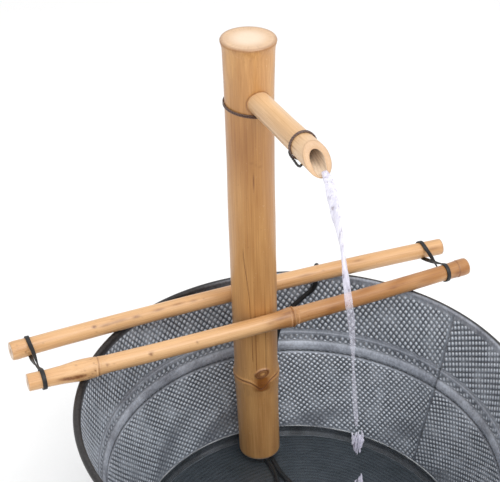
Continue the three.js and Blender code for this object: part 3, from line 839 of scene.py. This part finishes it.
# ---------- canes ----------
# Places are along X. radii: (place, radius); rings: (place, depth); marks: (place, angle, length,
# darkness); speckled and brown: where they start and end.
POLES = {
    "rear": {
        "side": 1, "offset": 30.7, "drop": 0.8, "left": -240.8, "right": 217.7, "turn": 0.0036, "seed": 21,
        "radii": [(-240.8, 8.5), (-236, 8.95), (-228, 8.75), (-218, 8.2), (-100, 8.1), (60, 8.2),
                  (217.7, 8.4)],
        "rings": [],
        "marks": [(-161, 132, 2.0, 1.2), (-150, 141, 6, 0.6), (-136, 138, 9, 0.6), (-119, 139, 4, 0.8),
                  (-96, 130, 6, 0.7), (-76, 124, 7, 0.6), (-60, 128, 4, 0.5), (120, 120, 6, 0.5),
                  (205, 150, 9, 0.5), (60, 140, 8, 0.4)],
        "speckled": (-241, -222), "brown": (150, 700),
    },
    "front": {
        "side": -1, "offset": 30.2, "drop": 0, "left": -237.6, "right": 220.8, "turn": 0.0255, "seed": 22,
        "radii": [(-237.6, 7.9), (-218, 7.9), (-206, 8.3), (-193, 9.5), (-186, 9.8), (-178, 9.5),
                  (-171, 8.6), (-163, 8.2), (-20, 8.0), (2, 8.3), (13, 9.2), (18.5, 9.9), (21.5, 9.2),
                  (26, 8.5), (36, 8.1), (190, 7.9), (202, 8.2), (214, 8.9), (220.8, 8.8)],
        "rings": [(-173, 0.2), (19.5, 0.7), (209, 0.25)],
        "marks": [(-193, 176, 6, 1.4), (-200, 182, 7, 1.1), (-206, 172, 6, 0.8), (-166, 149, 1.2, 0.8),
                  (-125, 150, 1.4, 1.1), (-124, 138, 2, 0.4), (-80, 146, 1.2, 0.7), (-6, 150, 4, 0.4),
                  (6, 135, 8, 0.6), (14, 115, 5, 0.6), (60, 160, 5, 0.5), (130, 140, 4, 0.5),
                  (165, 150, 7, 0.4), (206, 170, 5, 0.6)],
        "speckled": (-199, -174), "brown": (-20, 60),
    },
}
# The sawn end's rings, as share of the radius, how far back, marks and bare wood.
END_FACE = [(0.97, 0.15, 0.45, 0.4), (0.9, 0, 0.2, 0.6), (0.7, 0, 0.12, 0.7), (0.45, 0.1, 0.2, 0.7),
            (0.28, 0.3, 0.4, 0.7), (0.2, 1.6, 0.8, 1), (0.05, 2.0, 0.9, 1)]


def pole_y(pole, x):
    return pole["side"] * (pole["offset"] - POLE_BOW * (x / POLE_HALF) ** 2) + pole["turn"] * x


def add_pole(name, node, pole, material):
    """A cane with its nodes, stains and cut ends. Angle 90 is up, 180 towards -Y."""
    xs = np.unique(np.r_[np.arange(pole["left"] + 0.8, pole["right"] - 0.6, 1.6),
                         *[np.arange(x - 5, x + 5, 0.5) for x, _ in pole["rings"]]])
    xs = xs[(xs > pole["left"] + 0.7) & (xs < pole["right"] - 0.7)]
    angles = np.linspace(0, 2 * np.pi, 72, endpoint=False)
    x, a = np.meshgrid(xs, angles, indexing="ij")
    table, seed = np.array(pole["radii"]).T, pole["seed"]
    r = np.interp(x, *table) + 0.08 * waves(seed, (a * 8, 14), (x, 70))
    r = r + 0.05 * waves(seed + 5, (a * 8, 6), (x, 120))
    mark = 0.10 * step(waves(seed + 9, (a * 8, 12), (x, 160)), 0.3, 1.0)
    for at, depth in pole["rings"]:
        line = at + 0.8 * np.sin(a + 1)
        r = r + depth * hump(x, line + 1.0, 0.9) - depth * hump(x, line - 0.6, 0.7)
        mark = mark + 0.55 * hump(x, line - 0.5, 0.6) + 0.16 * hump(x, line, 7)
    for at, angle, long, dark in pole["marks"]:
        spot = hump(x, at, long) * near_angle(a, angle, 10)
        mark = mark + dark * spot
        r = r - 0.12 * dark * spot
    draw = np.random.default_rng(seed)
    for _ in range(46):
        spot = hump(x, draw.uniform(*pole["speckled"]), 0.6) * near_angle(a, draw.uniform(-180, 180), 4.5)
        mark = mark + 0.6 * spot
        r = r - 0.15 * spot
    for _ in range(26):
        at = draw.uniform(pole["left"], pole["right"])
        mark = mark + 0.5 * hump(x, at, draw.uniform(0.4, 1.6)) * near_angle(a, draw.uniform(0, 360), 4)
    brown = step(x, *pole["brown"]) * (0.75 + 0.25 * waves(seed + 2, (a * 8, 20), (x, 50)))
    brown = brown + 0.5 * hump(x, 8, 14) * (pole["side"] < 0)

    def end(at, sign):
        """The sawn face with its small pith: radius, place, marks and bare wood."""
        share, back, marks, bare = (v[:, None] + 0 * angles for v in np.array(END_FACE)[::sign].T)
        place = at - sign * back + 0.12 * np.sin(2 * angles) * share
        return np.interp(at, *table) * share, place, marks, bare

    left, right = end(pole["left"], -1), end(pole["right"], 1)
    brown = np.vstack([0 * left[0], brown, 0.4 + 0 * right[0]])
    r, x, mark, cut = (np.vstack(c) for c in zip(left, (r, x, mark, np.zeros_like(x)), right))
    a = angles + 0 * x
    slope = -pole["side"] * 2 * POLE_BOW * x / POLE_HALF**2 + pole["turn"]
    across, up = r * np.cos(a), r * np.sin(a)
    rings = xyz(POST_FOOT[0] + x - slope * across, POST_FOOT[1] + pole_y(pole, x) + across,
                POLE_HEIGHT - pole["drop"] + up)
    part = {"rings": rings, "grain": xyz(across, up, x), "mark": np.clip(mark, 0, 1), "cut": cut,
            "brown": np.clip(brown, 0, 1)}
    cane = solid(name, [part], material, "tub")
    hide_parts(node)


def add_band(name, node, at, material):
    """A flat rubber band, twisted once between the canes so that it crosses like a figure 8."""
    radius, half_wide, half_thick = 8.85, 1.9, 0.6
    rear, front = (pole_y(POLES[k], at) for k in ("rear", "front"))
    reach = math.pi / 2 + math.asin(2 * radius / (rear - front))  # half the angle held on each cane
    points, twists = [], []

    def around(centre, w):
        return np.array([0, centre + radius * math.cos(w), radius * math.sin(w)])

    def hold(centre, start, turn):
        for k in range(41):
            points.append(around(centre, start + turn * k / 40))
            twists.append(0.0)

    def cross(b, side):
        a = points[-1]
        for k in range(1, 30):
            t = k / 30
            points.append((1 - t) * a + t * b + (side * 1.3 * math.sin(math.pi * t), 0, 0))
            twists.append(t * math.pi)

    hold(rear, -reach, 2 * reach)
    cross(around(front, reach - math.pi), 1)
    hold(front, reach - math.pi, -2 * reach)
    cross(points[0], -1)
    path = np.array(points)
    t = loop_directions(path)
    across = np.array([1.0, 0, 0])
    normal = np.cross(t, across)
    normal /= np.linalg.norm(normal, axis=1)[:, None]
    twist = np.array(twists)[:, None]
    wide = across * np.cos(twist) + normal * np.sin(twist)
    thick = np.cross(t, wide)
    section = [(-1, -1), (-0.8, -1.15), (0.8, -1.15), (1, -1), (1, 1), (0.8, 1.15), (-0.8, 1.15), (-1, 1)]
    rings = np.stack([path + wide * half_wide * c + thick * half_thick * d for c, d in section], 1)
    rings = rings + (POST_FOOT[0] + at, POST_FOOT[1], POLE_HEIGHT)
    band = solid(name, [{"rings": rings, "loop": True}], material, "tub")
    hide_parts(node)


# ---------- tub ----------
# Radius and height, up the inside of the wall and round its foot.
WALL_INSIDE = [
    (153.4, 8.3), (157.2, 9.6), (158.3, 17), (178.6, 96), (179.8, 100.4), (181.4, 101.8), (180.4, 103.4),
    (180.3, 105.4), (181.2, 109), (182.6, 112.0), (184.4, 113.4), (185.0, 117), (185.3, 119.6),
    (184.8, 121.4), (186.4, 124), (197.2, 181),
]
TUB_FOOT = [
    (158.6, 7), (157.6, 4.5), (156.6, 0.6), (156.2, 0), (153.8, 0), (153.4, 0.5), (153.2, 4.2), (150.4, 4.9),
    (150.2, 6.3), (153.2, 6.7),
]
DOT_HEIGHT = 0.55
TUB_COLUMNS = 800
RIM_INNER = 2.4  # radius of the roll's inner turn


def sheet_flat(a, r, z):
    """Where a point of the conical wall lies on its unrolled half sheet, in mm."""
    slant = 0.2305  # sine of the cone's half angle
    apex = r / slant
    middle = SEAM + math.pi / 2
    off = (a - middle + np.pi) % (2 * np.pi) - np.pi
    off = np.where(np.abs(off) > np.pi / 2, (a - middle) % (2 * np.pi) - np.pi, off)
    turn = off * slant
    middle_row = 780  # brings the middle of the sheet near 0
    return xyz(apex * np.sin(turn), apex * np.cos(turn) - middle_row, 0 * z)


def dot_field(flat):
    turn = 2 * np.pi / DOT_PITCH / math.sqrt(2)
    u, v = (flat[..., 0] + flat[..., 1]) * turn, (flat[..., 0] - flat[..., 1]) * turn
    return (0.5 + 0.5 * np.cos(u)) * (0.5 + 0.5 * np.cos(v))


def dotted_share(z):
    """1 where the sheet is embossed, 0 on its beads and edges."""
    low = step(z, 17, 20) * (1 - step(z, 98.5, 100.2))
    groove = 0.7 * hump(z, 102, 1.2)
    between = 0.85 * step(z, 112.6, 113.8) * (1 - step(z, 118.8, 120))
    high = step(z, 124.5, 126.5) * (1 - step(z, 180.6, 181.4))
    return low + groove + between + high


def add_tub(material):
    inner_z = np.unique(np.r_[8.3, 9.6, 12, np.arange(15, 97, 1.4), np.arange(97, 127, 0.75),
                              np.arange(127, 181, 1.4), 181])
    table = np.array(WALL_INSIDE)
    inner_r = np.interp(inner_z, table[:, 1], table[:, 0])
    inner_r[1:-1] = np.convolve(inner_r, (0.25, 0.5, 0.25), "same")[1:-1]
    turns = [(math.radians(w), RIM_TUBE) for w in np.linspace(178, -95, 22)]
    turns += [(math.radians(w), RIM_INNER) for w in np.linspace(-105, 150, 14)]
    roll = [(RIM_RADIUS + r * math.cos(w), RIM_HEIGHT + r * math.sin(w)) for w, r in turns]
    outer_z = inner_z[inner_z > 14][::-1]
    outer_r = np.interp(outer_z, inner_z, inner_r) + SHEET
    # Each section is its radii, its heights, which way the sheet faces (0 for neither) and 1 on the roll.
    sections = [(inner_r, inner_z, 1, 0), (*np.array(roll).T, 0, 1), (outer_r, outer_z, -1, 0),
                (*np.array(TUB_FOOT).T, 0, 0)]
    a = np.linspace(0, 2 * np.pi, TUB_COLUMNS, endpoint=False)
    rows = {key: [] for key in ("rings", "flat", "dots", "rim", "grime")}
    for radii, heights, face, rim in sections:
        r = np.asarray(radii)[:, None] + 0 * a
        z = np.asarray(heights)[:, None] + 0 * a
        flat = sheet_flat(a + 0 * z, r, z)
        dots = dotted_share(z) if face else 0 * z
        off_seam = np.abs([turned_angle(a, math.degrees(SEAM) + w) for w in (0, 180)]).min(0)
        seam = np.radians(off_seam) * r
        dots = dots * step(seam, 0.9, 1.9)
        bed = abs(face) * (1 - step(z, 180.4, 181)) * step(z, 12, 16)
        r = r - bed * DOT_HEIGHT * dots * dot_field(flat)
        r = r + bed * (0.9 * hump(seam, 0, 0.8) - 0.4 * hump(seam, 2.4, 1.0))
        r = r + bed * 0.35 * waves(31, (a * 180, 220), (z, 90))
        # Painted reflection on the rolled rim: dark all round, lighter on its inner face away from the side
        # round 150 degrees, where it reflects light.
        dark_reflection_side = 0.3 + 0.7 * step(np.cos(a - math.radians(150)), 0.1, 0.75)
        inward = (1 - step(r, 198.2, 200)) * (1 - dark_reflection_side)
        edge = np.clip(rim + abs(face) * step(z, 180.4, 181.2) - inward, 0, 1)
        scuffed = step(waves(33, (a * 180, 90), (z, 60)), -0.1, 0.7) * (1 - step(z, 30, 75))
        # Darker below the waterline, and where scuffed.
        low = np.clip(1 - step(z, 16, 18) + 0.35 * scuffed, 0, 1)
        # A dark line down the lap seam, and painted shade along the three grooves.
        line = 0.9 * hump(seam, 0, 1.0) + 0.85 * hump(z, 101.6, 0.9)
        line = line + 0.55 * hump(z, 112.9, 0.9) + 0.6 * hump(z, 123.4, 0.9)
        rows["rings"].append(xyz(TUB_X + r * np.cos(a), r * np.sin(a), z))
        rows["flat"].append(flat)
        rows["dots"].append(dots * (1 - 0.45 * scuffed * (face > 0)))
        rows["rim"].append(edge)
        rows["grime"].append(np.clip(abs(face) * (low + line), 0, 1))
    part = {key: np.vstack(value) for key, value in rows.items()}
    part["loop"] = True
    tub = solid("galvanised_tub", [part], material, "tub")
    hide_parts("tub_wall")


# ---------- water ----------
# Middle along -Y, height and half width.
STREAM = [
    (-8, 414.6, 2.6), (-14, 411, 3.6), (-20.5, 406.6, 4.0), (-27.3, 400, 4.4), (-34.5, 388.5, 4.4),
    (-42, 376, 3.9), (-50, 357.5, 3.3), (-59.5, 331.5, 2.9), (-67.5, 309, 3.0), (-73.5, 278, 2.4),
    (-79.5, 246, 2.1), (-83, 229, 1.8), (-85.5, 219, 1.0),
]
# Where the stream has broken up: middle along -Y, height, half width, half height, number of strands.
SPLASHES = [
    (-88.5, 206, 4.4, 10, 17), (-94.5, 163, 3.0, 9, 8), (-100.5, 124, 3.6, 11, 8), (-104.5, 88, 2.4, 7, 4),
    (-108, 55, 2.4, 8, 5), (-110.8, 30, 4.6, 9, 9),
]
STREAM_X = -1.2
LANDING = (-1.0, -112.0)


def add_stream(material):
    """Water off the spout's lip: a twisting ribbon that thins, then falls in drops."""
    gap = 0.9  # between rings
    y, z, width = np.array(STREAM).T
    path = even(smooth_line(xyz(STREAM_X + 2 * step(z, 395, 412), y, z)), gap)
    width = np.interp(path[:, 2], z[::-1], width[::-1])[:, None]
    along = (np.arange(len(path)) * gap)[:, None]
    side, up = frames(path)
    a = np.linspace(0, 2 * np.pi, 28, endpoint=False)[None]
    turn = along / 95 * 2 * np.pi * 0.5
    flatten = 0.5 + 0.15 * np.sin(along / 17) + 0.25 * step(along, 200, 260)
    ripple = 1 + 0.10 * np.sin(3 * a + along / 9) + 0.06 * np.sin(5 * a - along / 5.3)
    ca, sa = np.cos(a), np.sin(a) * flatten
    x = (ca * np.cos(turn) - sa * np.sin(turn)) * ripple * width
    y = (ca * np.sin(turn) + sa * np.cos(turn)) * ripple * width
    rings = sweep(path, side, up, x, y)
    body = np.interp(path[:, 2], [215, 250, 320, 350], [0.25, 0.16, 0.24, 0.8])[:, None] + 0 * a
    parts = [{"rings": rings, "body": body}]
    draw = np.random.default_rng(5)
    a = np.linspace(0, 2 * np.pi, 12, endpoint=False)
    for y, z, wide, high, count in SPLASHES:
        for k in range(count):
            at = np.array([STREAM_X + draw.uniform(-wide, wide), y + draw.uniform(-wide, wide) * 0.6,
                           z + draw.normal(0, high * 0.3)])
            size = draw.uniform(0.5, 1.15)
            long = high * draw.uniform(0.45, 1.0)
            rings = []
            for t in np.linspace(0.05, math.pi - 0.05, 16):
                lump = 1 + 0.2 * np.sin(2 * a + k + 3 * t) + 0.25 * math.sin(7 * t + k)
                r = size * math.sin(t) ** 0.8 * lump
                sway = 0.6 * math.sin(2.2 * t + k)
                rings.append(xyz(r * np.cos(a) + sway, r * np.sin(a), long * math.cos(t)) + at)
            parts.append({"rings": np.array(rings), "body": np.full((16, 12), 0.6)})
    solid("water_stream", parts, material, "post")


def add_pool(top_material, under_material):
    """Shallow water with rings from where the stream lands, curled up at the wall."""
    a = np.linspace(0, 2 * np.pi, 420, endpoint=False)
    wall = WATER_RADIUS
    radii = np.r_[np.linspace(1, wall - 4, 120), wall - 2.5, wall - 1.4, wall - 0.6, wall]
    r = radii[:, None] + 0 * a
    x, y = TUB_X + r * np.cos(a), r * np.sin(a)
    away = np.hypot(x - LANDING[0], y - LANDING[1])
    rings_height = 0.28 * np.exp(-away / 75) * np.sin(away / 1.5 + 0.6 * waves(41, (x, 60), (y, 60)))
    swell = 0.10 * waves(42, (x, 34), (y, 22)) + 0.05 * waves(43, (x, 12), (y, 9))
    post = np.hypot(x - POST_FOOT[0], y - POST_FOOT[1])
    z = WATER_LEVEL + (rings_height + swell) * step(wall - r, 1, 6)
    z = z + 1.1 * np.exp(-(wall - r) / 0.9) + 0.7 * np.exp(-np.abs(post - 21.3) / 0.9)
    low_r, low_z = np.array([(157.2, 9.9), (153.0, 8.5), (80.0, 8.35), (1.0, 8.35)]).T[..., None]
    under = xyz(TUB_X + low_r * np.cos(a), low_r * np.sin(a), low_z)
    glint = np.maximum(step(r, wall - 0.9, wall - 0.5), 0.25 * (post < 22.2))
    part = {"rings": np.vstack([xyz(x, y, z), under]), "edge": np.vstack([glint, 0 * under[..., 0]])}
    pool = solid("water_pool", [part], top_material, "tub")
    pool.data.materials.append(under_material)
    faces = pool.data.polygons
    flags = [1 if f.center.z < (WATER_LEVEL - 1.2) * MM else 0 for f in faces]
    faces.foreach_set("material_index", flags)


# ---------- carried-over CAD nodes ----------
def finish_nodes(finishes):
    """Gives CAD nodes a material and, if it isn't 0, an edge bevel of that width."""
    for name, (material, bevel) in finishes.items():
        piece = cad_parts[name]
        piece.data.materials.clear()
        piece.data.materials.append(material)
        if bevel:
            edge = piece.modifiers.new("edge", "BEVEL")
            edge.width = bevel * MM
            edge.segments = 2
            edge.limit_method = "ANGLE"
            edge.angle_limit = math.radians(40)


# ---------- studio ----------
def add_studio():
    scene = bpy.context.scene
    mesh = bpy.data.meshes.new("studio_floor")
    half = 6
    corners = [(-half, -half, 0), (half, -half, 0), (half, half, 0), (-half, half, 0)]
    mesh.from_pydata(corners, [], [(0, 1, 2, 3)])
    floor = bpy.data.objects.new("studio_floor", mesh)
    scene.collection.objects.link(floor)
    paper = Shader("studio_paper", Roughness=0.9)
    fleck = paper.noise(300.0, 2, 0.5)
    mesh.materials.append(paper.finish(Base_Color=paper.ramp(fleck, (0.3, 0.93), (0.7, 0.94))))
    world = bpy.data.worlds.new("studio_air")
    world.use_nodes = True
    air = world.node_tree.nodes["Background"].inputs
    air["Color"].default_value = (1, 1, 1, 1)
    air["Strength"].default_value = 0.92
    scene.world = world
    scene.view_settings.view_transform = "Standard"
    for name, place, energy, size in (("key", (0.5, -0.9, 1.7), 11, 0.8), ("top", (-0.1, 0.1, 2.0), 6, 1.2),
                                      ("front", (-0.5, -1.5, 1.3), 8, 1.0)):
        data = bpy.data.lights.new(name, "AREA")
        data.energy = energy
        data.size = size
        light = bpy.data.objects.new(name, data)
        scene.collection.objects.link(light)
        light.location = place
        light.rotation_mode = "QUATERNION"
        light.rotation_quaternion = (Vector((0, 0.05, 0.2)) - light.location).to_track_quat("-Z", "Y")


# ---------- the whole object ----------
add_camera()
cord_rubber = rubber("soft_black_lead", (0.006, 0.006, 0.007), 0.5)
cord, route = add_cord(cord_rubber)
tie = add_coil_tie(cord_rubber)
plug = add_plug(cord_rubber)

tan = bamboo("bamboo_skin", (0.61, 0.33, 0.118), (0.40, 0.182, 0.054))
cane = bamboo("cane_skin", (0.74, 0.455, 0.225), (0.52, 0.265, 0.10), rough=0.38)
pale = bamboo("pale_bamboo_skin", (0.74, 0.50, 0.285), (0.54, 0.32, 0.15))
add_post(tan)
add_spout(pale)
brown_lace = lace("brown_lace", (0.10, 0.05, 0.035))
black_lace = lace("black_lace", (0.012, 0.010, 0.010))
add_ties(brown_lace)
add_spout_tie(brown_lace, black_lace)
add_pole("rear_cane", "rear_pole", POLES["rear"], cane)
add_pole("front_cane", "front_pole", POLES["front"], cane)
band_rubber = rubber("band_rubber", (0.006, 0.006, 0.007), 0.5)
add_band("left_rubber_band", "left_band", -223.7, band_rubber)
add_band("right_rubber_band", "right_band", 195.2, band_rubber)
add_tub(zinc("embossed_zinc"))
add_pool(pool_top("pool_surface"), clear("pool_depth", (0.5, 0.56, 0.6), 0.03, 0.1, 60.0))
add_stream(falling_water("falling_water"))

black_plastic = moulded("pump_plastic", (0.018, 0.019, 0.022), 0.45)
soft_rubber = rubber("soft_rubber", (0.014, 0.014, 0.015), 0.65)
brass = moulded("stamped_brass", (0.60, 0.44, 0.18), 0.28, metallic=1.0)
bare_zinc = plain_zinc("bare_zinc")
finish_nodes({
    "tub_floor": (bare_zinc, 0), "rim_wire": (bare_zinc, 0),
    "hose": (clear("vinyl", (0.80, 0.84, 0.84), 0.6, 0.12, 200.0), 0),
    "pump_housing": (black_plastic, 0.3), "outlet_cap": (black_plastic, 0.3),
    "volute_cover": (black_plastic, 0.2), "intake_grille": (black_plastic, 0.2),
    "flow_dial": (black_plastic, 0.15), "impeller": (black_plastic, 0.1),
    "stator_coil": (copper_wire("copper_windings"), 0.2),
    "epoxy_seal": (moulded("potting_resin", (0.035, 0.024, 0.02), 0.25), 0.2),
    "rotor_magnet": (moulded("ferrite", (0.06, 0.06, 0.065), 0.5, metallic=0.5), 0.2),
    "pump_shaft": (moulded("ceramic", (0.82, 0.79, 0.72), 0.2), 0.1),
    "upper_shaft_seat": (soft_rubber, 0.1), "lower_shaft_seat": (soft_rubber, 0.1),
    "strain_relief": (soft_rubber, 0.2), "plug_blade_left": (brass, 0.4), "plug_blade_right": (brass, 0.4),
})
add_studio()
